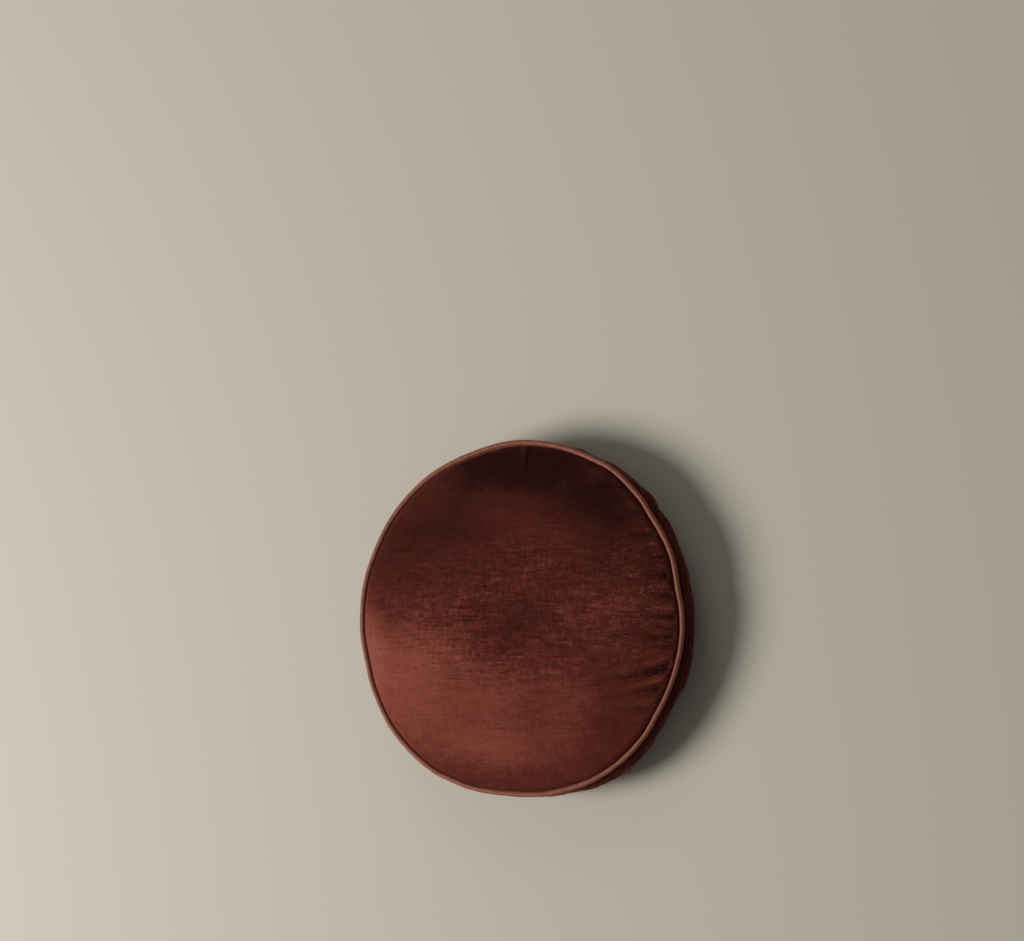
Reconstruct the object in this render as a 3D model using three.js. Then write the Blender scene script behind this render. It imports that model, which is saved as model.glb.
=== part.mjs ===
// Disc pillow: a round box cushion of slubby velvet with a piped edge on both sides, lying on its back.
// Millimetres. +Z is up and out of the front panel, +X is the photograph's right and +Y is its top.
// Clock angles are in degrees, from +X towards +Y. The origin is under the middle, on the surface it lies on.

import * as THREE from "three";
import { mergeVertices } from "three/addons/utils/BufferGeometryUtils.js";

// Driving sizes
const WIDTH_OVER_PIPING = 450;
const PIPING_WIDTH = 7;
const BAND_DEPTH = 43; // from the middle of one piping to the middle of the other
const FRONT_CROWN = 27; // the middle of the front panel, above its piping
const BACK_CROWN = 20; // the middle of the back panel, below its piping
const REST_RADIUS = 140; // the part of the back panel that is pressed flat
const BACK_DRAWN_IN = 4; // the back seam is this much tighter than the front one
const PIPING_GAP = 0.3; // between the piping and the cloth that it is sewn into

// Where the cloth leaves the piping, as degrees round the piping's section from straight out
const PANEL_LEAVES_AT = 138;
const BAND_LEAVES_AT = -56;

// The cloth's swell between seams: more rounding keeps the middle flatter, and less fullness makes the rise
// at the seam steeper
const FRONT_ROUNDING = 2.3;
const FRONT_FULLNESS = 0.66;
const BACK_ROUNDING = 1.7;
const BACK_FULLNESS = 0.75;
const BAND_FULLNESS = 0.7;

// The outline of the front piping isn't a true circle: out is millimetres beyond it
const OUTLINE = [
  { clock: 0, out: -0.9 },
  { clock: 9, out: -3.3 },
  { clock: 21, out: -0.5 },
  { clock: 34, out: -1.5 },
  { clock: 42, out: 0.9 },
  { clock: 55, out: 3.0 },
  { clock: 66, out: 1.1 },
  { clock: 88, out: 0.5 },
  { clock: 108, out: -2.6 },
  { clock: 127, out: -0.7 },
  { clock: 145, out: -0.2 },
  { clock: 155, out: -1.1 },
  { clock: 166, out: -0.2 },
  { clock: 182, out: -0.8 },
  { clock: 194, out: -2.3 },
  { clock: 204, out: -0.4 },
  { clock: 218, out: 1.7 },
  { clock: 239, out: 1.4 },
  { clock: 248, out: -0.9 },
  { clock: 267, out: -3.9 },
  { clock: 284, out: -0.7 },
  { clock: 299, out: 2.4 },
  { clock: 309, out: 3.0 },
  { clock: 319, out: 2.4 },
  { clock: 329, out: -0.2 },
  { clock: 355, out: 0.1 },
];

// How far the filled band stands out between its seams: lumpy at the top right, pressed where the
// pillow stands on its edge, at 270
const BAND_SWELL = [
  { clock: 0, out: 7.2 },
  { clock: 10, out: 8.8 },
  { clock: 23, out: 5.0 },
  { clock: 32, out: 8.2 },
  { clock: 43, out: 7.6 },
  { clock: 50, out: 3.9 },
  { clock: 55, out: 4.9 },
  { clock: 61, out: 2.0 },
  { clock: 68, out: 4.4 },
  { clock: 76, out: 0.8 },
  { clock: 86, out: 2.2 },
  { clock: 98, out: 1.6 },
  { clock: 113, out: 5.2 },
  { clock: 127, out: 4.1 },
  { clock: 143, out: 6.9 },
  { clock: 160, out: 5.6 },
  { clock: 178, out: 7.5 },
  { clock: 197, out: 6.1 },
  { clock: 213, out: 7.3 },
  { clock: 229, out: 5.2 },
  { clock: 246, out: 3.6 },
  { clock: 262, out: 1.2 },
  { clock: 281, out: 1.5 },
  { clock: 296, out: 5.2 },
  { clock: 308, out: 8.9 },
  { clock: 324, out: 6.3 },
  { clock: 343, out: 9.2 },
];

// Creases of the front panel at its seam. Each is a trough from the seam inwards: long and wide in
// millimetres, leaning by lean degrees of the clock towards its inner end
const FRONT_CREASES = [
  { clock: 38, long: 26, wide: 7, deep: 1.6, lean: 3 },
  { clock: 27, long: 34, wide: 8, deep: 1.8, lean: 2 },
  { clock: 17, long: 28, wide: 7, deep: 1.7, lean: 1 },
  { clock: 8, long: 42, wide: 8, deep: 2.4, lean: -1 },
  { clock: 0, long: 36, wide: 7, deep: 2.2, lean: -2 },
  { clock: 352, long: 34, wide: 7, deep: 2.0, lean: -3 },
  { clock: 344, long: 52, wide: 10, deep: 3.2, lean: -7 },
  { clock: 334, long: 36, wide: 9, deep: 2.2, lean: -4 },
  { clock: 322, long: 24, wide: 8, deep: 1.2, lean: -2 },
  { clock: 88, long: 30, wide: 6, deep: 1.4, lean: 0 },
  { clock: 94, long: 22, wide: 6, deep: 1.1, lean: 0 },
];

// Creases of the back panel at its seam, out of the photograph's sight
const BACK_CREASES = [
  { clock: 12, long: 30, wide: 9, deep: 1.6, lean: 2 },
  { clock: 66, long: 24, wide: 8, deep: 1.3, lean: -2 },
  { clock: 118, long: 32, wide: 9, deep: 1.7, lean: 1 },
  { clock: 171, long: 26, wide: 8, deep: 1.4, lean: 2 },
  { clock: 222, long: 30, wide: 9, deep: 1.5, lean: -1 },
  { clock: 291, long: 28, wide: 9, deep: 1.6, lean: -2 },
  { clock: 338, long: 24, wide: 8, deep: 1.4, lean: 1 },
];

// The seams rise and fall a little along their way round
const FRONT_SEAM_WAVES = [
  { turns: 2, high: 0.7, clock: 35 },
  { turns: 5, high: 0.4, clock: 12 },
];
const BACK_SEAM_WAVES = [
  { turns: 3, high: 0.6, clock: 80 },
  { turns: 4, high: 0.4, clock: 5 },
];

// The two ends of the piping meet at the bottom edge, where its cover is folded in and thicker: thicker is
// in millimetres, and spread in degrees of the clock
const JOIN = { clock: 270.5, thicker: 0.5, spread: 2.5 };

// How finely the shape is stepped
const STATIONS = 120; // round the pillow
const FRONT_ROWS = 10;
const BACK_ROWS = 6;
const BAND_ROWS = 8;
const GROOVE_ROWS = 5;
const PIPING_SIDES = 8;

const FULL_TURN = 360;
const RIGHT_ANGLE = Math.PI / 2;
const VELVET_RUST = "#6e3428";
const PIPING_RUST = "#7d4030";
const VELVET_ROUGHNESS = 0.9;

const pipingRadius = PIPING_WIDTH / 2;
const seamRadius = WIDTH_OVER_PIPING / 2 - pipingRadius;
// A stepped groove cuts inside its own circle, so it is drawn wider by as much
const grooveStep = THREE.MathUtils.degToRad(FULL_TURN - PANEL_LEAVES_AT + BAND_LEAVES_AT) / GROOVE_ROWS;
const grooveWidening = 1 / Math.cos(grooveStep / 2);

// The shortest way round the clock from one angle to another, from -180 to 180
function clockBetween(from, to) {
  return THREE.MathUtils.euclideanModulo(to - from + FULL_TURN / 2, FULL_TURN) - FULL_TURN / 2;
}

// A table's value at a clock angle, running smoothly from row to row and round past the last
function readTable(rows, clock) {
  const turned = THREE.MathUtils.euclideanModulo(clock - rows[0].clock, FULL_TURN) + rows[0].clock;
  let row = rows.length - 1;
  while (rows[row].clock > turned) row -= 1;
  const here = rows[row];
  const next = rows[(row + 1) % rows.length];
  const span = THREE.MathUtils.euclideanModulo(next.clock - here.clock, FULL_TURN);
  const share = THREE.MathUtils.smoothstep((turned - here.clock) / span, 0, 1);
  return THREE.MathUtils.lerp(here.out, next.out, share);
}

// How far a seam lies above its own mean height
function waveHeight(waves, clock) {
  return waves.reduce(
    (sum, wave) => sum + wave.high * Math.sin(wave.turns * THREE.MathUtils.degToRad(clock - wave.clock)),
    0,
  );
}

// How deep the creases are at a clock angle and a distance inwards from the seam
function creaseDepth(creases, clock, inwards) {
  return creases.reduce((sum, crease) => {
    const along = inwards / crease.long;
    const middle = crease.clock + crease.lean * along;
    const aside = (THREE.MathUtils.degToRad(clockBetween(middle, clock)) * seamRadius) / crease.wide;
    return sum + crease.deep * Math.exp(-aside * aside - along * along);
  }, 0);
}

// 1 in the middle of a panel, falling to 0 at its seam, where share is 1
function swell(share, rounding, fullness) {
  return Math.pow(Math.max(0, 1 - Math.pow(share, rounding)), fullness);
}

// The middle of each piping's section at a clock angle, and how thick the piping is there
function frontSeam(clock) {
  return {
    out: seamRadius + readTable(OUTLINE, clock),
    up: BACK_CROWN + BAND_DEPTH + waveHeight(FRONT_SEAM_WAVES, clock),
    radius: thickness(clock),
  };
}

function backSeam(clock) {
  return {
    out: seamRadius + readTable(OUTLINE, clock) - BACK_DRAWN_IN,
    up: BACK_CROWN + waveHeight(BACK_SEAM_WAVES, clock),
    radius: thickness(clock),
  };
}

// The piping's radius, with the bump of its join
function thickness(clock) {
  const aside = clockBetween(JOIN.clock, clock) / JOIN.spread;
  return pipingRadius + JOIN.thicker * Math.exp(-aside * aside);
}

// A point of the groove that holds a piping. Side is 1 at the front and -1 at the back
function groovePoint(seam, degrees, side) {
  const reach = (seam.radius + PIPING_GAP) * grooveWidening;
  const angle = THREE.MathUtils.degToRad(degrees);
  return {
    out: seam.out + reach * Math.cos(angle),
    up: seam.up + side * reach * Math.sin(angle),
  };
}

// The groove's points between its two edges, from the panel's side to the band's
function groove(seam, side) {
  const points = [];
  for (let row = 0; row <= GROOVE_ROWS; row++) {
    const degrees = THREE.MathUtils.lerp(PANEL_LEAVES_AT, FULL_TURN + BAND_LEAVES_AT, row / GROOVE_ROWS);
    points.push(groovePoint(seam, degrees, side));
  }
  return points;
}

// How far out a panel's row lies, from 0 to 1: rows are closer together near the seam, where the cloth
// turns quickly
function rowShare(row, rows) {
  return Math.sin((row / rows) * RIGHT_ANGLE);
}

// The back panel from its middle outwards: flat where it lies, then rising to just before the seam
function backPanel(clock, edge) {
  const points = [{ out: 0, up: 0 }];
  for (let row = 0; row < BACK_ROWS; row++) {
    const share = rowShare(row, BACK_ROWS);
    const out = THREE.MathUtils.lerp(REST_RADIUS, edge.out, share);
    const drop = edge.up * swell(share, BACK_ROUNDING, BACK_FULLNESS);
    const crease = share * creaseDepth(BACK_CREASES, clock, edge.out - out);
    points.push({ out, up: row ? edge.up - drop + crease : 0 });
  }
  return points;
}

// The front panel from just inside its seam to its middle
function frontPanel(clock, edge) {
  const points = [];
  const rise = BACK_CROWN + BAND_DEPTH + FRONT_CROWN - edge.up;
  for (let row = FRONT_ROWS - 1; row >= 0; row--) {
    const share = rowShare(row, FRONT_ROWS);
    const out = edge.out * share;
    const crease = share * creaseDepth(FRONT_CREASES, clock, edge.out - out);
    points.push({ out, up: edge.up + rise * swell(share, FRONT_ROUNDING, FRONT_FULLNESS) - crease });
  }
  return points;
}

// The band's points between the two grooves, from the back upwards
function band(clock, back, front) {
  const points = [];
  for (let row = 1; row < BAND_ROWS; row++) {
    const share = row / BAND_ROWS;
    const arch = 4 * share * (1 - share); // 0 at both seams and 1 halfway
    const bulge = Math.pow(arch, BAND_FULLNESS);
    points.push({
      out: THREE.MathUtils.lerp(back.out, front.out, share) + bulge * readTable(BAND_SWELL, clock),
      up: THREE.MathUtils.lerp(back.up, front.up, share),
    });
  }
  return points;
}

// Half a section of the filled cushion at a clock angle, from the middle of the back to that of the front
function cushionSection(clock) {
  const backGroove = groove(backSeam(clock), -1);
  const frontGroove = groove(frontSeam(clock), 1).reverse();
  return [
    ...backPanel(clock, backGroove[0]),
    ...backGroove,
    ...band(clock, backGroove[GROOVE_ROWS], frontGroove[0]),
    ...frontGroove,
    ...frontPanel(clock, frontGroove[GROOVE_ROWS]),
  ];
}

// A piping's round section at a clock angle, closed on itself
function pipingSection(seam) {
  const points = [];
  for (let side = 0; side <= PIPING_SIDES; side++) {
    const angle = THREE.MathUtils.degToRad(((side % PIPING_SIDES) / PIPING_SIDES) * FULL_TURN);
    points.push({
      out: seam.out + seam.radius * Math.cos(angle),
      up: seam.up + seam.radius * Math.sin(angle),
    });
  }
  return points;
}

// A section turned round the pillow, with its own points at every station
function turned(sectionAt) {
  const plain = sectionAt(0).map(({ out, up }) => new THREE.Vector2(out, up));
  const geometry = new THREE.LatheGeometry(plain, STATIONS);
  const place = geometry.attributes.position;
  for (let station = 0; station <= STATIONS; station++) {
    const clock = ((station % STATIONS) / STATIONS) * FULL_TURN;
    const angle = THREE.MathUtils.degToRad(clock);
    sectionAt(clock).forEach(({ out, up }, row) => {
      place.setXYZ(station * plain.length + row, out * Math.cos(angle), out * Math.sin(angle), up);
    });
  }
  geometry.deleteAttribute("normal");
  geometry.deleteAttribute("uv");
  const closed = mergeVertices(geometry);
  closed.computeVertexNormals();
  return closed;
}

function velvet(colour) {
  return new THREE.MeshStandardMaterial({ color: colour, roughness: VELVET_ROUGHNESS, metalness: 0 });
}

function piece(name, sectionAt, colour) {
  const mesh = new THREE.Mesh(turned(sectionAt), velvet(colour));
  mesh.name = name;
  return mesh;
}

const pillow = new THREE.Group();
pillow.add(
  piece("cushion", cushionSection, VELVET_RUST),
  piece("front_piping", (clock) => pipingSection(frontSeam(clock)), PIPING_RUST),
  piece("back_piping", (clock) => pipingSection(backSeam(clock)), PIPING_RUST),
);

// The uneven outline is set with the middle of its width and of its height over the origin
const box = new THREE.Box3().setFromObject(pillow);
const middle = box.getCenter(new THREE.Vector3());
pillow.position.set(-middle.x, -middle.y, 0);

export default pillow;
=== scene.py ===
import math

import bmesh
import bpy
import numpy as np
from mathutils import Matrix, Vector
from mathutils.bvhtree import BVHTree
from mathutils.interpolate import poly_3d_calc


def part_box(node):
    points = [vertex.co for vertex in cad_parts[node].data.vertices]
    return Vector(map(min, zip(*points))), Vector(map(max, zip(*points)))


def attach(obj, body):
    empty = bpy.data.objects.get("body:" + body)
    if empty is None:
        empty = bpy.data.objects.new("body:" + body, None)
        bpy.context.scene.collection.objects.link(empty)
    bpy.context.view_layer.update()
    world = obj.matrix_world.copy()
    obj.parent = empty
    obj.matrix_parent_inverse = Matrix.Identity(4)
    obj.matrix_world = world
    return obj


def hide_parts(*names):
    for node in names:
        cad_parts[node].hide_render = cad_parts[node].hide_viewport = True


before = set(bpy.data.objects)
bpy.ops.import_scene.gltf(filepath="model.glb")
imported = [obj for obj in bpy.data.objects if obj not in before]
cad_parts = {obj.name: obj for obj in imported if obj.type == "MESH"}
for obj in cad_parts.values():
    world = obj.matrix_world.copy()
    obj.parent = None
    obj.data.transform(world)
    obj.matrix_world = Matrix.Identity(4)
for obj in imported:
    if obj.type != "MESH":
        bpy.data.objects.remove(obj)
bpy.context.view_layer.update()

scene = bpy.context.scene

# Camera. The pillow lies on its back, and the camera looks down on it at the photograph's angle to its
# face: 25 degrees off the line straight out of the front panel, towards the pillow's right.
IMAGE_SIZE = Vector((1024, 941))
PILLOW_PIXEL = Vector((517.0, 618.8))  # where the middle of the front seam lands
OFF_THE_FACE = math.radians(25.1)
ROUND_THE_FACE = math.radians(-4.0)  # from +X towards +Y
CAMERA_DISTANCE = 3.04
LENS_MM, SENSOR_MM = 85, 36

cad_cushion = np.array([v.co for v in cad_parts["cushion"].data.vertices])
pole = cad_cushion[cad_cushion[:, 2].argmax()] * [1, 1, 0]  # the line that the seams run round
seam_low, seam_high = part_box("front_piping")
seam_middle = Vector(pole) + Vector((0, 0, (seam_low.z + seam_high.z) / 2))

outwards = Vector((
    math.sin(OFF_THE_FACE) * math.cos(ROUND_THE_FACE),
    math.sin(OFF_THE_FACE) * math.sin(ROUND_THE_FACE),
    math.cos(OFF_THE_FACE),
))
upright = (Vector((0, 1, 0)) - outwards.y * outwards).normalized()
to_face = Matrix((upright.cross(outwards), upright, outwards)).transposed()
focal_pixels = LENS_MM / SENSOR_MM * IMAGE_SIZE.x
pillow_ray = Vector((
    (PILLOW_PIXEL.x - IMAGE_SIZE.x / 2) / focal_pixels,
    (IMAGE_SIZE.y / 2 - PILLOW_PIXEL.y) / focal_pixels,
    -1,
))
off_centre = Vector((0, 0, -1)).rotation_difference(pillow_ray).inverted().to_matrix()

lens = bpy.data.cameras.new("camera")
lens.lens, lens.sensor_width = LENS_MM, SENSOR_MM
camera = bpy.data.objects.new("camera", lens)
camera.matrix_world = (
    Matrix.Translation(seam_middle + outwards * CAMERA_DISTANCE) @ (to_face @ off_centre).to_4x4()
)
scene.collection.objects.link(camera)
scene.camera = camera


# Floor and light. A plain pale floor, a large soft lamp from the left, a weak one from the top and a
# little light from all round.
FLOOR_SIZE = 24.0
FLOOR_COLOUR = "#cbc7bc"
LAMPS = (
    # name, round the clock, above the floor (degrees), distance, width (metres), strength, colour
    ("left_lamp", 195, 44, 4.5, 2.2, 0.91, "#fffaf4"),
    ("top_lamp", 100, 35, 4.5, 2.2, 0.07, "#fffaf4"),
)
ROOM_COLOUR, ROOM_STRENGTH = "#f4f1ea", 0.15


def linear(code):
    """An sRGB hex value as a linear colour."""
    parts = [int(code[i:i + 2], 16) / 255 for i in (1, 3, 5)]
    return [c / 12.92 if c <= 0.04045 else ((c + 0.055) / 1.055) ** 2.4 for c in parts] + [1.0]


def new_material(name):
    material = bpy.data.materials.new(name)
    material.use_nodes = True
    material.node_tree.nodes.clear()
    return material


def add(material, kind, inputs, **settings):
    """A node of that kind with its settings, and with a value or another node's output on each input."""
    node = material.node_tree.nodes.new(kind)
    for name, value in settings.items():
        setattr(node, name, value)
    for socket, value in inputs.items():
        if isinstance(value, bpy.types.NodeSocket):
            material.node_tree.links.new(value, node.inputs[socket])
        else:
            node.inputs[socket].default_value = value
    return node


# Matt floor paint: no gloss to catch the lamps
floor_paint = new_material("matt_floor_paint")
painted = add(floor_paint, "ShaderNodeBsdfPrincipled", {
    "Base Color": linear(FLOOR_COLOUR), "Roughness": 0.95, "Specular IOR Level": 0.1,
})
add(floor_paint, "ShaderNodeOutputMaterial", {"Surface": painted.outputs[0]})
bm = bmesh.new()
bmesh.ops.create_grid(bm, x_segments=1, y_segments=1, size=FLOOR_SIZE / 2)
floor = bpy.data.objects.new("floor", bpy.data.meshes.new("floor"))
bm.to_mesh(floor.data)
bm.free()
floor.data.materials.append(floor_paint)
scene.collection.objects.link(floor)

for name, clock_angle, above, distance, width, strength, tint in LAMPS:
    lamp = bpy.data.lights.new(name, "AREA")
    lamp.shape, lamp.size, lamp.color = "DISK", width, linear(tint)[:3]
    lamp.energy = strength * (math.pi * distance) ** 2
    towards = Vector((
        math.cos(math.radians(above)) * math.cos(math.radians(clock_angle)),
        math.cos(math.radians(above)) * math.sin(math.radians(clock_angle)),
        math.sin(math.radians(above)),
    ))
    held = bpy.data.objects.new(name, lamp)
    held.location = towards * distance
    held.rotation_euler = towards.to_track_quat("Z", "Y").to_euler()
    scene.collection.objects.link(held)
room = bpy.data.worlds.new("room")
room.use_nodes = True
room.node_tree.nodes["Background"].inputs["Color"].default_value = linear(ROOM_COLOUR)
room.node_tree.nodes["Background"].inputs["Strength"].default_value = ROOM_STRENGTH
scene.world = room
scene.view_settings.view_transform = "Standard"


# Cushion. Two discs of slubby velvet and a band between them, sewn together round a soft filling: the
# panels crown, the band bulges between its seams, and the cloth creases where it is drawn into a seam.
CAD_STATIONS = 120   # the frame's rings have a section every 3 degrees
STATIONS = 720       # this cushion has one every half degree
START_CLOCK = 270    # the band's own short seam, at the bottom edge, where the stations begin
FLAT_ROWS, BACK_ROWS, GROOVE_ROWS, BAND_ROWS, FRONT_ROWS = 6, 30, 8, 22, 48
PANEL_LEAVES_AT = math.radians(198)  # round the piping's section, from straight out
BAND_LEAVES_AT = math.radians(304)
PIPING_GAP = 0.00025
REST_RADIUS = 0.140
FRONT_ROUNDING, FRONT_FULLNESS = 2.3, 0.66
BACK_ROUNDING, BACK_FULLNESS = 1.7, 0.75
BAND_FULLNESS = 0.7
EDGE_SWELL, EDGE_SWELLS_OVER = 0.0045, 0.008
CORD_TIGHTER = (335, 70, 0.16)  # where a piping is thinner: clock, spread (degrees) and by what share
BAND_FULLER = ((0, 55, 1.0), (293, 16, 3.0))  # where the band swells out more: clock, spread, millimetres

clock = np.radians(START_CLOCK + np.arange(STATIONS) * 360 / STATIONS)


def all_round(values):
    """Values given at the frame's stations, run smoothly through all stations of this cushion."""
    waves = np.zeros(STATIONS // 2 + 1, complex)
    known = np.fft.rfft(values)
    waves[:len(known)] = known
    smooth = np.fft.irfft(waves, STATIONS) * STATIONS / len(values)
    return np.roll(smooth, -START_CLOCK * STATIONS // 360)


def cad_rings(node):
    """For each station of the frame's node, its points' distances out and heights."""
    points = np.array([v.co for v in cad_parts[node].data.vertices]) - pole
    nearest = np.rint(np.arctan2(points[:, 1], points[:, 0]) * CAD_STATIONS / (2 * math.pi))
    out = np.hypot(points[:, 0], points[:, 1])
    return [
        (out[nearest % CAD_STATIONS == k], points[nearest % CAD_STATIONS == k, 2])
        for k in range(CAD_STATIONS)
    ]


def past(at):
    """How many degrees each station lies past a clock angle, from -180 to 180."""
    return (np.degrees(clock) - at + 180) % 360 - 180


def seam_line(node):
    """Where a piping runs: the middle of its section, out and up, and its radius, all the way round."""
    rings = cad_rings(node)
    outer = all_round([out.max() for out, up in rings])
    at, spread, share = CORD_TIGHTER
    radius = all_round([(out.max() - out.min()) / 2 for out, up in rings])
    radius *= 1 - share * np.exp(-(past(at) / spread) ** 2)
    return {
        "out": outer - radius,
        "up": all_round([(up.min() + up.max()) / 2 for out, up in rings]),
        "radius": radius,
    }


def groove(seam, side):
    """The trough that holds a piping, from the panel's edge round to the band's, as out and up."""
    angles = np.linspace(PANEL_LEAVES_AT, BAND_LEAVES_AT, GROOVE_ROWS + 1)[:, None]
    reach = seam["radius"] + PIPING_GAP
    return seam["out"] + reach * np.cos(angles), seam["up"] + side * reach * np.sin(angles)


def swell(share, rounding, fullness):
    return (1 - share ** rounding) ** fullness


def shares(rows):
    """Steps from 0 to 1 that grow finer towards 1, where the cloth bends most, without the two ends."""
    return np.sin(np.linspace(0, math.pi / 2, rows + 1))[1:-1, None]


front_seam, back_seam = seam_line("front_piping"), seam_line("back_piping")
front_groove_out, front_groove_up = groove(front_seam, 1)
back_groove_out, back_groove_up = groove(back_seam, -1)
crown_top = cad_cushion[:, 2].max()

# How far the frame's band stands out between its seams, at half its height
band_swell = []
for k, (out, up) in enumerate(cad_rings("cushion")):
    station = (k * STATIONS // CAD_STATIONS - START_CLOCK * STATIONS // 360) % STATIONS
    seams_out = (front_groove_out[-1, station] + back_groove_out[-1, station]) / 2
    seams_up = (front_groove_up[-1, station] + back_groove_up[-1, station]) / 2
    rim = out > out.max() / 2
    band_swell.append(out[rim][np.abs(up[rim] - seams_up).argmin()] - seams_out)
band_swell = all_round(band_swell)
for at, spread, more in BAND_FULLER:
    band_swell += more / 1000 * np.exp(-(past(at) / spread) ** 2)

flat_out = np.linspace(0, REST_RADIUS, FLAT_ROWS + 1)[1:-1, None] + 0 * clock
share = np.concatenate([[[0]], shares(BACK_ROWS)])
back_out = REST_RADIUS + (back_groove_out[0] - REST_RADIUS) * share
back_up = back_groove_up[0] * (1 - swell(share, BACK_ROUNDING, BACK_FULLNESS))
share = np.linspace(0, 1, BAND_ROWS + 1)[1:-1, None]
band_out = back_groove_out[-1] + (front_groove_out[-1] - back_groove_out[-1]) * share
band_out += band_swell * (4 * share * (1 - share)) ** BAND_FULLNESS
band_up = back_groove_up[-1] + (front_groove_up[-1] - back_groove_up[-1]) * share
share = shares(FRONT_ROWS)[::-1]
front_out = front_groove_out[0] * share
crown = crown_top - front_groove_up[0]
front_up = front_groove_up[0] + crown * swell(share, FRONT_ROUNDING, FRONT_FULLNESS)
# The panel swells up at once beside the piping, so that only a narrow dark cleft is left between them
inwards = (front_groove_out[0] - front_out) / EDGE_SWELLS_OVER
front_up += EDGE_SWELL * np.sqrt(np.minimum(inwards, 1)) * np.exp(-inwards)

# Rows of points from the middle of the underside, out and over the rim, to the middle of the crown
out = np.concatenate([
    flat_out, back_out, back_groove_out, band_out, front_groove_out[::-1], front_out,
])
up = np.concatenate([
    0 * flat_out, back_up, back_groove_up, band_up, front_groove_up[::-1], front_up,
])
ROWS = len(out)
back_edge = len(flat_out) + len(back_out)
band_start = back_edge + GROOVE_ROWS // 2
band_end = back_edge + len(back_groove_out) + len(band_out) + GROOVE_ROWS // 2
front_edge = ROWS - len(front_out)


def gap_to(seam):
    """How far each point of the cushion is from a seam's line."""
    return np.hypot(out - seam["out"], up - seam["up"])


def wrap(out, up, closed):
    """A bmesh of those rows round the pillow. Its ends are closed on themselves, or drawn to a middle."""
    rows, stations = out.shape
    bm = bmesh.new()
    half = 0.5
    bmesh.ops.create_grid(bm, x_segments=stations - 1, y_segments=rows - 1, size=half)
    sides = [[e for e in bm.edges if all(abs(v.co.x - x) < 1e-6 for v in e.verts)] for x in (-half, half)]
    bmesh.ops.bridge_loops(bm, edges=sides[0] + sides[1])
    bm.verts.ensure_lookup_table()
    x, y = out * np.cos(clock) + pole[0], out * np.sin(clock) + pole[1]
    for v, place in zip(bm.verts, np.stack([x, y, up], -1).reshape(-1, 3)):
        v.co = place
    rims = [e for e in bm.edges if e.is_boundary]
    if closed:
        bmesh.ops.bridge_loops(bm, edges=rims)
    else:
        for height in (up[0].mean(), up[-1].mean()):
            rim = [e for e in rims if abs(e.verts[0].co.z - height) < 1e-3]
            cap = bmesh.ops.extrude_edge_only(bm, edges=rim)["geom"]
            corners = [v for v in cap if isinstance(v, bmesh.types.BMVert)]
            bmesh.ops.pointmerge(bm, verts=corners, merge_co=(pole[0], pole[1], height))
    bmesh.ops.recalc_face_normals(bm, faces=bm.faces)
    return bm


# The cloth settles round the filling: a copy is remeshed, held at its seams and underside, let out a
# little and blown up, and the lumps and puckers that this gives are carried over
VOXEL = 0.005
SETTLE_FRAMES = 20
LET_OUT = 0.03
PRESSURE = 4
HELD_WITHIN, FREE_BEYOND = 0.007, 0.018   # metres from a seam's line
RESTS_BELOW, FREE_ABOVE = 0.0005, 0.008   # metres over the floor
MOST_SETTLING = 0.004
# How much of it shows: the front panel is drawn smooth, but for its slack edge at the right
FRONT_SETTLES, SLACK_SETTLES, REST_SETTLES = 0.10, 0.45, 0.9
SLACK_CLOCK, SLACK_SPREAD, SLACK_REACH = 2, 42, 0.06   # degrees, degrees, metres from the seam


def ease(value, start, end):
    """0 before the start, 1 past the end and a smooth rise between them."""
    step = np.clip((value - start) / (end - start), 0, 1)
    return step * step * (3 - 2 * step)


free = ease(np.minimum(gap_to(front_seam), gap_to(back_seam)), HELD_WITHIN, FREE_BEYOND)
free = free * ease(up, RESTS_BELOW, FREE_ABOVE)
settling = bpy.data.objects.new("settling", bpy.data.meshes.new("settling"))
bm = wrap(out, up, closed=False)
bm.to_mesh(settling.data)
bm.free()
scene.collection.objects.link(settling)
remesh = settling.modifiers.new("even_cloth", "REMESH")
remesh.mode, remesh.voxel_size = "VOXEL", VOXEL
even = bpy.data.meshes.new_from_object(settling.evaluated_get(bpy.context.evaluated_depsgraph_get()))
settling.modifiers.remove(remesh)
settling.data = even
before = np.array([v.co for v in even.vertices])
round_clock = np.arctan2(before[:, 1] - pole[1], before[:, 0] - pole[0]) % (2 * math.pi)
station = np.rint((round_clock - clock[0]) * STATIONS / (2 * math.pi)).astype(int) % STATIONS
reach = np.hypot(before[:, 0] - pole[0], before[:, 1] - pole[1])
near = np.minimum(*[
    np.hypot(reach - seam["out"][station], before[:, 2] - seam["up"][station])
    for seam in (front_seam, back_seam)
])
held = 1 - ease(near, HELD_WITHIN, FREE_BEYOND) * ease(before[:, 2], RESTS_BELOW, FREE_ABOVE)
sewn = settling.vertex_groups.new(name="sewn_or_resting")
for k, weight in enumerate(held):
    sewn.add([k], weight, "REPLACE")
cloth = settling.modifiers.new("cloth", "CLOTH").settings
cloth.quality = 6
cloth.mass = 0.3
cloth.tension_stiffness = cloth.compression_stiffness = 15
cloth.shear_stiffness = 8
cloth.bending_stiffness = 0.3
cloth.vertex_group_mass = "sewn_or_resting"
cloth.pin_stiffness = 1
cloth.shrink_min = -LET_OUT
cloth.use_pressure = True
cloth.uniform_pressure_force = PRESSURE
cloth.effector_weights.gravity = 0
for k in range(1, SETTLE_FRAMES + 1):
    scene.frame_set(k)
settled = settling.evaluated_get(bpy.context.evaluated_depsgraph_get()).to_mesh()
moved = np.array([v.co for v in settled.vertices]) - before
tree = BVHTree.FromPolygons([v.co for v in even.vertices], [p.vertices[:] for p in even.polygons])
carried = np.zeros((ROWS, STATIONS, 3))
x, y = out * np.cos(clock) + pole[0], out * np.sin(clock) + pole[1]
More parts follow.
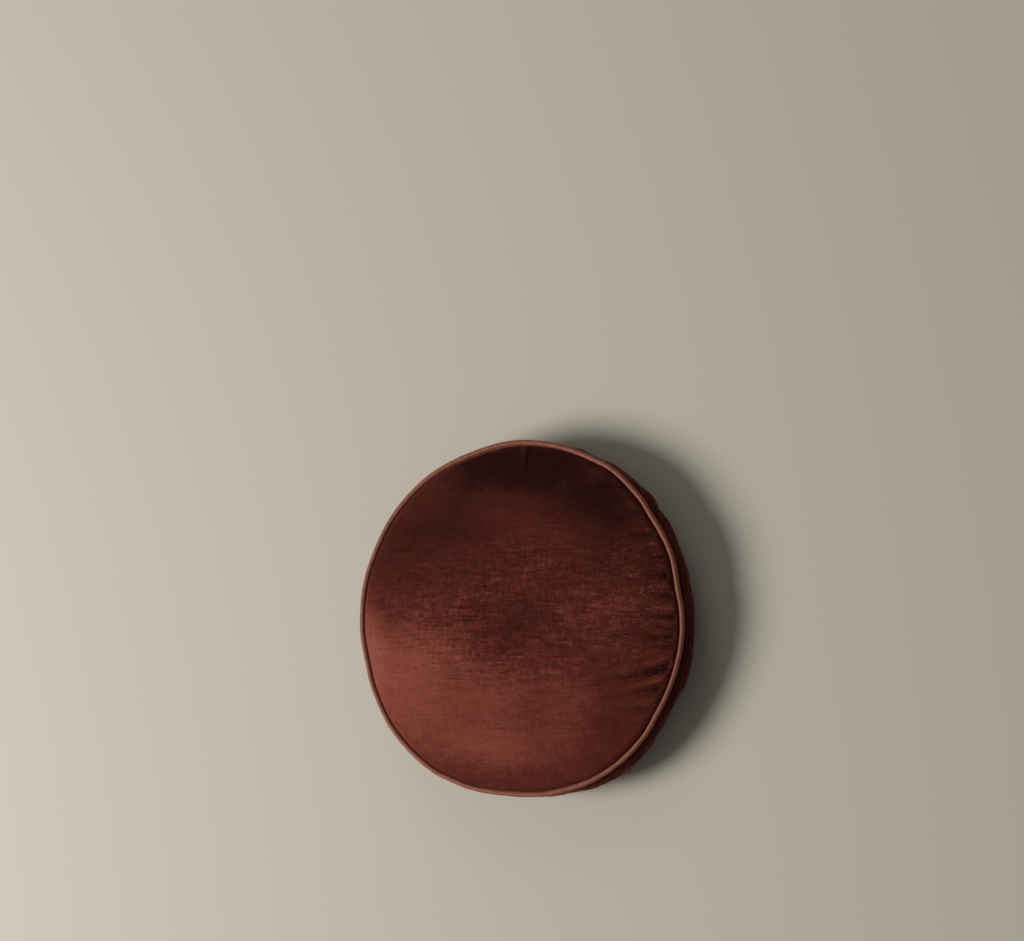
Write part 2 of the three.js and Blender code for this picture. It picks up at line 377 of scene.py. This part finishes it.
for row, k in np.argwhere(free > 0):
    place, _, face, _ = tree.find_nearest((x[row, k], y[row, k], up[row, k]))
    around = even.polygons[face].vertices[:]
    weights = poly_3d_calc([even.vertices[c].co for c in around], place)
    carried[row, k] = weights @ moved[list(around)]
settle_out = carried[:, :, 0] * np.cos(clock) + carried[:, :, 1] * np.sin(clock)
settle_up = carried[:, :, 2]
for settle in (settle_out, settle_up):
    settle -= settle.mean(axis=1, keepdims=True)
size = np.hypot(settle_out, settle_up)
keep = free * np.minimum(1, MOST_SETTLING / np.maximum(size, 1e-9))
slack = np.exp(-(past(SLACK_CLOCK) / SLACK_SPREAD) ** 2)
slack = slack * (1 - ease(front_groove_out[0] - out, 0, SLACK_REACH))
front_rows = np.arange(ROWS)[:, None] >= front_edge
keep = keep * np.where(front_rows, FRONT_SETTLES + SLACK_SETTLES * slack, REST_SETTLES)
out = out + settle_out * keep
up = up + settle_up * keep
scene.frame_set(1)
bpy.data.objects.remove(settling)

# Creases of the panels where they are drawn into the seam
FRONT_CREASES = (
    # clock (degrees), long, wide, deep (millimetres, a ridge below zero), lean (degrees, to the inner end)
    (86.8, 23, 4.5, -2.8, -1),
    (83.5, 20, 5, 1.0, 0),
    (70, 22, 7, 1.0, 1),
    (52, 18, 6, 1.0, 2),
    (41, 18, 3, -1.0, 2),
    (37, 16, 3.5, 1.8, 2),
    (28, 22, 3.5, 2.2, 3),
    (24.5, 26, 3, -1.8, 3),
    (20, 18, 4, 2.2, 1),
    (14, 20, 4.5, 3.0, 1),
    (10.5, 24, 3.5, -1.8, 1),
    (7, 18, 3.5, 2.8, 0),
    (3.5, 22, 3.5, -1.8, 0),
    (0, 28, 3.5, 2.8, 0),
    (356, 14, 3, 2.4, 0),
    (353.5, 44, 4, 2.4, -1),
    (350.5, 24, 3.5, 2.2, -1),
    (347.8, 28, 3, -1.8, -5),
    (345, 42, 5.5, 4.5, -9),
    (341, 34, 4, -2.4, -8),
    (337.5, 28, 5, 2.4, -6),
    (333, 24, 4, -1.2, -5),
    (329, 22, 5, 1.4, -4),
)
BACK_CREASES = (
    # clock, long, wide, deep, lean
    (12, 30, 7, 1.5, 2),
    (66, 24, 6, 1.2, -2),
    (118, 32, 7, 1.6, 1),
    (171, 26, 6, 1.3, 2),
    (222, 30, 7, 1.4, -1),
    (291, 28, 7, 1.5, -2),
    (338, 24, 6, 1.3, 1),
)


def crease_depth(creases, inwards):
    """How deep the creases are at a distance inwards from the seam, all the way round."""
    deep = np.zeros_like(inwards)
    for at, long, wide, depth, lean in creases:
        along = inwards / (long / 1000)
        turn = (clock - np.radians(at + lean * along) + math.pi) % (2 * math.pi) - math.pi
        aside = turn * front_seam["out"] / (wide / 1000)
        deep += depth / 1000 * np.exp(-aside ** 2 - along ** 2)
    return deep


# Pinches of the band, which is drawn in by its two seams and bulges between the pinches
BAND_PINCHES = (
    # clock, wide (degrees), deep (millimetres)
    (66, 3.5, 2.2),
    (55, 3.0, 2.4),
    (45, 2.5, 2.0),
    (36, 3.0, 2.2),
    (22, 3.0, 1.3),
    (11, 5, 1.2),
    (352, 5, 1.4),
    (333, 4, 1.6),
    (321, 4, 1.0),
    (290, 4, 1.4),
    (251, 4, 1.5),
    (229, 5, 1.3),
    (204, 4, 1.6),
    (181, 5, 1.2),
    (160, 4, 1.5),
    (138, 5, 1.3),
    (115, 4, 1.6),
    (92, 4, 1.3),
)
BAND_SEAM = (270, 0.5, 1.0)  # the short seam that closes the band, also clock, wide and deep

# How deep in a fold each point lies, in millimetres. It also drives painted shade and a painted highlight in
# the colour: darker in a fold and paler on a crest, and a painted highlight where the panel bends over its
# edge, most of all at the left, the side the lamp lights.
EDGE_PAINTED_HIGHLIGHT, EDGE_HIGHLIGHT_OVER = 2.4, 0.0045
HIGHLIGHT_LEFTWARDS = 1.5  # the higher, the more the painted highlight keeps to the left
CREASES_FROM = 0.008   # metres from the seam to where a crease is at its full depth
PRESSED_UNDER = 0.004  # metres over the floor, where the back's creases are pressed flat
fold_depth_and_shade = np.zeros_like(out)
front, back = slice(front_edge, ROWS), slice(len(flat_out), back_edge)
band = slice(band_start, band_end + 1)
across = np.linspace(0, 1, band_end - band_start + 1)[:, None]
for at, wide, depth in (*BAND_PINCHES, BAND_SEAM):
    fold_depth_and_shade[band] += depth * np.exp(-(past(at) / wide) ** 2) * np.sqrt(4 * across * (1 - across))
out[band] -= fold_depth_and_shade[band] / 1000
inwards = front_groove_out[0] - out[front]
depth = ease(inwards, 0, CREASES_FROM) * crease_depth(FRONT_CREASES, inwards)
up[front] -= depth
# A painted highlight where the front panel bends over its edge, strongest at the left, on the lamp's side
edge_highlight = EDGE_PAINTED_HIGHLIGHT * ((1 - np.cos(clock)) / 2) ** HIGHLIGHT_LEFTWARDS
fold_depth_and_shade[front] = depth * 1000 - edge_highlight * np.exp(-(inwards / EDGE_HIGHLIGHT_OVER) ** 2)
inwards = back_groove_out[0] - out[back]
depth = ease(inwards, 0, CREASES_FROM) * crease_depth(BACK_CREASES, inwards)
depth = depth * ease(up[back], 0, PRESSED_UNDER)
up[back] += depth
fold_depth_and_shade[back] = depth * 1000

bm = wrap(out, up, closed=False)
cushion = bpy.data.objects.new("cushion_cover", bpy.data.meshes.new("cushion_cover"))
bm.to_mesh(cushion.data)
bm.free()
cushion.data.shade_smooth()
scene.collection.objects.link(cushion)


def face_corners(mesh, rows):
    """For each corner of its faces: the face, the row and the station, counted on past the last ones."""
    corner = np.zeros(len(mesh.loops), int)
    mesh.loops.foreach_get("vertex_index", corner)
    face = np.repeat(np.arange(len(mesh.polygons)), [p.loop_total for p in mesh.polygons])
    row, station = corner // STATIONS, corner % STATIONS
    for index, count in ((row, rows), (station, STATIONS)):
        at_last = np.zeros(len(mesh.polygons), bool)
        np.logical_or.at(at_last, face, index == count - 1)
        index[at_last[face] & (index == 0)] = count
    return face, row, station


# The cloth's own map, in metres: each panel is laid out flat round its middle, the back one aside, and
# the band along its length
BACK_ASIDE, BAND_ASIDE = 1.0, 2.0
steps = np.hypot(np.diff(out, axis=0, prepend=0), np.diff(up, axis=0, prepend=0))
from_back = steps.cumsum(axis=0)
from_front = from_back[-1] + out[-1] - from_back
face, row, station = face_corners(cushion.data, ROWS)
at_pole = row >= ROWS
first_row = np.full(len(cushion.data.polygons), ROWS)
np.minimum.at(first_row, face, np.where(at_pole, ROWS - 1, row))
on_back, on_front = first_row[face] < band_start, first_row[face] >= band_end
here = np.minimum(row, ROWS - 1), station % STATIONS
reach = np.where(at_pole, 0, np.where(on_back, from_back[here], from_front[here]))
along = station / STATIONS * 2 * math.pi * front_seam["out"].mean()
across = from_back[here] - from_back[band_start][here[1]]
places = np.stack([reach * np.cos(clock[here[1]]) + BACK_ASIDE * on_back, reach * np.sin(clock[here[1]])], -1)
on_band = ~(on_back | on_front)
places[on_band] = np.stack([along, across + BAND_ASIDE], -1)[on_band]
cloth_map = cushion.data.uv_layers.new(name="cloth")
cloth_map.data.foreach_set("uv", places.ravel())
# The depth of folds and pinches, kept on the points for the painted shade and the painted edge highlight
fold_shade_layer = cushion.data.attributes.new("fold_depth_and_shade", "FLOAT", "POINT")
fold_shade_layer.data.foreach_set("value", np.concatenate([fold_depth_and_shade.ravel(), [0, 0]]))

# Cotton velvet with slubs. The dyed pile tints its own broad gloss, which a low metallic gives; thin slubs
# run along the cloth; and the pile leans this way and that where it has been brushed, where the same strokes
# also paint light and shade into the colour: lighter over the lower half and at the left rim, darker over the
# top.
PILE_TONES = (
    # at, colour: the pile seen from above its tips, the body of the cloth, and two steps of its lit flanks
    (0.0, "#2a1312"),
    (0.4, "#52241e"),
    (0.8, "#7c4236"),
    (1.0, "#8c5045"),
)
PILE_MIDDLE = 0.35  # where plain cloth lies among those colours
FOLD_PAINTED_SHADE = 0.12  # painted shade: darker by this for each millimetre deep in a fold
PILE_ROUGHNESS = 0.66
PILE_HEIGHT = 0.001  # the heights below are in millimetres
PILE_LEANS = (-0.16, 0.115, 0)  # how far the pile leans all over, to the left and the top
# Strokes of brushed nap, which also paint light and shade: lighter over the lower half and at the left rim,
# darker over the top, as the light falls
BRUSHED_AND_PAINTED_LIGHT = (
    # middle (x, y), long, wide (millimetres), turned (degrees), soft edge (share), lighter by
    (-245, -30, 520, 150, 0, 0.8, 0.2),
    (-160, -100, 380, 230, 5, 1.0, 0.4),
    (-10, -95, 170, 130, 0, 1.0, 0.2),
    (15, -10, 120, 220, -30, 1.0, -0.1),
    (125, -5, 150, 120, 0, 1.0, 0.1),
    (75, -105, 130, 190, 10, 1.0, 0.2),
    (-20, -160, 260, 100, 0, 1.0, 0.3),
    (60, 172, 380, 130, -12, 1.0, -0.3),
    (-110, 110, 280, 140, 12, 1.0, -0.2),
    (130, 120, 170, 130, -35, 1.0, -0.2),
    (-75, 160, 130, 70, 15, 1.0, -0.1),
    (-20, 200, 340, 100, 0, 1.0, -0.3),
    (205, 60, 90, 180, -15, 1.0, -0.1),
    (-215, -45, 90, 260, 0, 1.0, 0.3),
)
BRUSHED_LEAN = (-0.08, -0.06, 0)  # how far a stroke tips the pile, where it makes it lightest
RAGGED = (38, 14, 26)  # how ragged a stroke's edge is: long, wide and how far aside (millimetres)
BUSY_BELT = (20, 10, 520, 240, 0)  # where the cloth is busiest: middle (x, y), long, wide, turned
CALM = 0.4  # the share of the pattern away from the belt
CLOTH_PATTERN = (
    # long, wide (millimetres), turned (degrees), starts at, full at, lighter by, raised (millimetres)
    # a row that starts below one half swings both ways, and the others only add thin threads and specks;
    # real threads are about 0.3 mm, and the finest rows are drawn at 1 mm so that they show
    (80, 40, 8, 0.25, 0.75, 0.05, 0),
    (55, 10, 0, 0.25, 0.75, 0.07, 0.004),
    (22, 4.5, 0, 0.25, 0.75, 0.07, 0.003),
    (5, 14, 0, 0.25, 0.75, 0.06, 0.002),
    (6, 3, 0, 0.25, 0.75, 0.08, 0.002),
    (2.2, 1.8, 0, 0.25, 0.75, 0.09, 0.001),
    (45, 1.0, 0, 0.60, 0.72, 0.26, 0.004),
    (20, 1.5, 0, 0.60, 0.72, -0.24, -0.003),
    (1.0, 15, 0, 0.61, 0.74, 0.22, 0.003),
    (2.0, 1.4, 20, 0.64, 0.74, 0.45, 0.002),
)
LOOSE_FIBRES_PATCH = (190, 20, 150, 360, 0)  # where loose fibres catch the light, as for the belt
# The loose fibres' pale colour is partly their own and partly a painted glint of the light they catch
LOOSE_FIBRES_GLINT_COLOUR, LOOSE_FIBRES_SHOW = "#94685c", 0.6
LOOSE_FIBRES = (
    # the same columns as in the table of the cloth
    (13, 1.4, 8, 0.62, 0.74, 1.0, 0.004),
    (6, 1.2, -25, 0.64, 0.76, 1.0, 0.003),
)
NOISES_APART = 11.3  # sets the noises of a table's rows apart


def woven(material, where, pattern):
    """Outputs that say how much lighter and how far raised the cloth is, by a table of the form above."""
    lighter, raised = 0.0, 0.0
    for k, (long, wide, turned, starts, full, tone, height) in enumerate(pattern):
        along = add(material, "ShaderNodeMapping", {
            "Vector": where, "Rotation": (0, 0, math.radians(turned)), "Scale": (long / 1000, wide / 1000, 1),
        }, vector_type="TEXTURE").outputs[0]
        thread = add(material, "ShaderNodeTexNoise", {
            "Vector": along, "W": NOISES_APART * (k + 1), "Scale": 1.0, "Detail": 1.0,
        }, noise_dimensions="4D").outputs[0]
        thread = add(material, "ShaderNodeMapRange", {
            "Value": thread, "From Min": starts, "From Max": full, "To Min": -1.0 if starts < 0.5 else 0.0,
        }, interpolation_type="SMOOTHSTEP").outputs[0]
        lighter = add(material, "ShaderNodeMath", {
            0: thread, 1: tone, 2: lighter,
        }, operation="MULTIPLY_ADD").outputs[0]
        raised = add(material, "ShaderNodeMath", {
            0: thread, 1: height, 2: raised,
        }, operation="MULTIPLY_ADD").outputs[0]
    return lighter, raised


def patch(material, where, x, y, long, wide, turned):
    """An output that falls from 1 in an oval patch's middle to 0 at its edge."""
    oval = add(material, "ShaderNodeMapping", {
        "Vector": where, "Location": (x / 1000, y / 1000, 0), "Rotation": (0, 0, math.radians(turned)),
        "Scale": (long / 2000, wide / 2000, 1),
    }, vector_type="TEXTURE").outputs[0]
    return add(material, "ShaderNodeTexGradient", {"Vector": oval}, gradient_type="SPHERICAL").outputs[1]


velvet = new_material("slubby_cotton_velvet")
where = add(velvet, "ShaderNodeUVMap", {}, uv_map="cloth").outputs[0]
long, wide, aside = RAGGED
ragged = add(velvet, "ShaderNodeMapping", {
    "Vector": where, "Scale": (long / 1000, wide / 1000, 1),
}, vector_type="TEXTURE").outputs[0]
ragged = add(velvet, "ShaderNodeTexNoise", {"Vector": ragged, "Scale": 1.0, "Detail": 3.0}).outputs[1]
ragged = add(velvet, "ShaderNodeVectorMath", {0: ragged, 1: (0.5, 0.5, 0.5)}, operation="SUBTRACT").outputs[0]
ragged = add(velvet, "ShaderNodeVectorMath", {
    0: ragged, 1: (aside / 1000, aside / 1000, 0), 2: where,
}, operation="MULTIPLY_ADD").outputs[0]
lighter, raised = woven(velvet, where, CLOTH_PATTERN)
fibres_and_glint, fibres_raised = woven(velvet, ragged, LOOSE_FIBRES)
raised = add(velvet, "ShaderNodeMath", {0: raised, 1: fibres_raised}, operation="ADD").outputs[0]
busy = patch(velvet, where, *BUSY_BELT)
busy = add(velvet, "ShaderNodeMapRange", {"Value": busy, "From Max": 0.5, "To Min": CALM}).outputs[0]
lighter = add(velvet, "ShaderNodeMath", {
    0: lighter, 1: busy, 2: PILE_MIDDLE,
}, operation="MULTIPLY_ADD").outputs[0]
# Painted shade in folds and pinches, and the painted highlight along the front panel's edge
deep = add(velvet, "ShaderNodeAttribute", {}, attribute_name="fold_depth_and_shade").outputs["Fac"]
lighter = add(velvet, "ShaderNodeMath", {
    0: deep, 1: -FOLD_PAINTED_SHADE, 2: lighter,
}, operation="MULTIPLY_ADD").outputs[0]
brushed_and_painted_light = 0.0
for *oval, soft, tone in BRUSHED_AND_PAINTED_LIGHT:
    stroke = add(velvet, "ShaderNodeMapRange", {
        "Value": patch(velvet, ragged, *oval), "From Max": soft,
    }, interpolation_type="SMOOTHSTEP").outputs[0]
    brushed_and_painted_light = add(velvet, "ShaderNodeMath", {
        0: stroke, 1: tone, 2: brushed_and_painted_light,
    }, operation="MULTIPLY_ADD").outputs[0]
# The strokes' painted light and shade go into the colour, together with the brushed nap
lighter = add(velvet, "ShaderNodeMath", {0: lighter, 1: brushed_and_painted_light}, operation="ADD", use_clamp=True).outputs[0]
lean = add(velvet, "ShaderNodeVectorMath", {
    0: BRUSHED_LEAN, 1: brushed_and_painted_light, 2: PILE_LEANS,
}, operation="MULTIPLY_ADD").outputs[0]
standing = add(velvet, "ShaderNodeNewGeometry", {}).outputs["Normal"]
leaning = add(velvet, "ShaderNodeVectorMath", {0: standing, 1: lean}, operation="ADD").outputs[0]
leaning = add(velvet, "ShaderNodeVectorMath", {0: leaning}, operation="NORMALIZE").outputs[0]
pile = add(velvet, "ShaderNodeBump", {
    "Height": raised, "Distance": PILE_HEIGHT, "Strength": 1.0, "Normal": leaning,
}).outputs[0]
tones = add(velvet, "ShaderNodeValToRGB", {"Fac": lighter})
for stop, (at, code) in enumerate(PILE_TONES):
    if 0 < stop < len(PILE_TONES) - 1:
        tones.color_ramp.elements.new(at)
    tones.color_ramp.elements[stop].position = at
    tones.color_ramp.elements[stop].color = linear(code)
fibres_and_glint = add(velvet, "ShaderNodeMath", {
    0: fibres_and_glint, 1: patch(velvet, ragged, *LOOSE_FIBRES_PATCH),
}, operation="MULTIPLY").outputs[0]
fibres_and_glint = add(velvet, "ShaderNodeMath", {
    0: fibres_and_glint, 1: LOOSE_FIBRES_SHOW,
}, operation="MULTIPLY", use_clamp=True).outputs[0]
colour = add(velvet, "ShaderNodeMix", {
    "Factor": fibres_and_glint, "A": tones.outputs[0], "B": linear(LOOSE_FIBRES_GLINT_COLOUR),
}, data_type="RGBA").outputs["Result"]
shader = add(velvet, "ShaderNodeBsdfPrincipled", {
    "Base Color": colour, "Roughness": PILE_ROUGHNESS, "Metallic": 0.3, "Specular IOR Level": 0.1,
    "Specular Tint": linear("#5a2014"), "Sheen Weight": 0.4, "Sheen Roughness": 0.3,
    "Sheen Tint": linear("#ff9a80"), "Normal": pile,
})
add(velvet, "ShaderNodeOutputMaterial", {"Surface": shader.outputs[0]})
cushion.data.materials.append(velvet)
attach(cushion, "root")
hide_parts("cushion")


# Pipings. A cord covered with a strip of the same velvet, cut on the bias, and sewn in between panel and
# band. Its ends meet at the bottom edge.
PIPING_SIDES = 16
UNEVEN = (
    # bumps all the way round, thicker by (share), turned (degrees)
    (23, 0.020, 40),
    (61, 0.015, 130),
    (97, 0.012, 300),
)
FOLD_LIGHT, FOLD_DARK = "#96604e", "#7d4a3b"
BIAS_PATTERN = (
    # long, wide (millimetres), turned (degrees), starts at, full at, lighter by, raised (millimetres)
    (14, 4, 0, 0.25, 0.75, 0.25, 0.010),
    (3, 1.4, 0, 0.25, 0.75, 0.30, 0.003),
)

# The same velvet, rolled so tightly that the pile stands open and shows its lighter, matt flanks
piping_velvet = new_material("velvet_rolled_on_a_cord")
where = add(piping_velvet, "ShaderNodeUVMap", {}, uv_map="cloth").outputs[0]
lighter, raised = woven(piping_velvet, where, BIAS_PATTERN)
lighter = add(piping_velvet, "ShaderNodeMath", {
    0: lighter, 1: 0.5,
}, operation="ADD", use_clamp=True).outputs[0]
colour = add(piping_velvet, "ShaderNodeMix", {
    "Factor": lighter, "A": linear(FOLD_DARK), "B": linear(FOLD_LIGHT),
}, data_type="RGBA").outputs["Result"]
pile = add(piping_velvet, "ShaderNodeBump", {
    "Height": raised, "Distance": PILE_HEIGHT, "Strength": 1.0,
}).outputs[0]
shader = add(piping_velvet, "ShaderNodeBsdfPrincipled", {
    "Base Color": colour, "Roughness": 0.62, "Metallic": 0.3, "Specular IOR Level": 0.2,
    "Sheen Weight": 0.2, "Sheen Roughness": 0.45, "Sheen Tint": linear("#ffcab2"), "Normal": pile,
})
add(piping_velvet, "ShaderNodeOutputMaterial", {"Surface": shader.outputs[0]})
for node, seam in (("front_piping", front_seam), ("back_piping", back_seam)):
    radius = seam["radius"].copy()
    for bumps, thicker, turned in UNEVEN:
        radius *= 1 + thicker * np.cos(bumps * clock + math.radians(turned))
    round_section = (np.arange(PIPING_SIDES) * 2 * math.pi / PIPING_SIDES)[:, None]
    bm = wrap(
        seam["out"] + radius * np.cos(round_section),
        seam["up"] + radius * np.sin(round_section),
        closed=True,
    )
    piping = bpy.data.objects.new(node + "_cover", bpy.data.meshes.new(node + "_cover"))
    bm.to_mesh(piping.data)
    bm.free()
    piping.data.shade_smooth()
    scene.collection.objects.link(piping)
    face, row, station = face_corners(piping.data, PIPING_SIDES)
    along = station / STATIONS * 2 * math.pi * seam["out"].mean()
    across = row / PIPING_SIDES * 2 * math.pi * seam["radius"].mean()
    bias_map = piping.data.uv_layers.new(name="cloth")
    places = np.stack([along + across, along - across], -1) / math.sqrt(2)
    bias_map.data.foreach_set("uv", places.ravel())
    piping.data.materials.append(piping_velvet)
    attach(piping, "root")
    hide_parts(node)
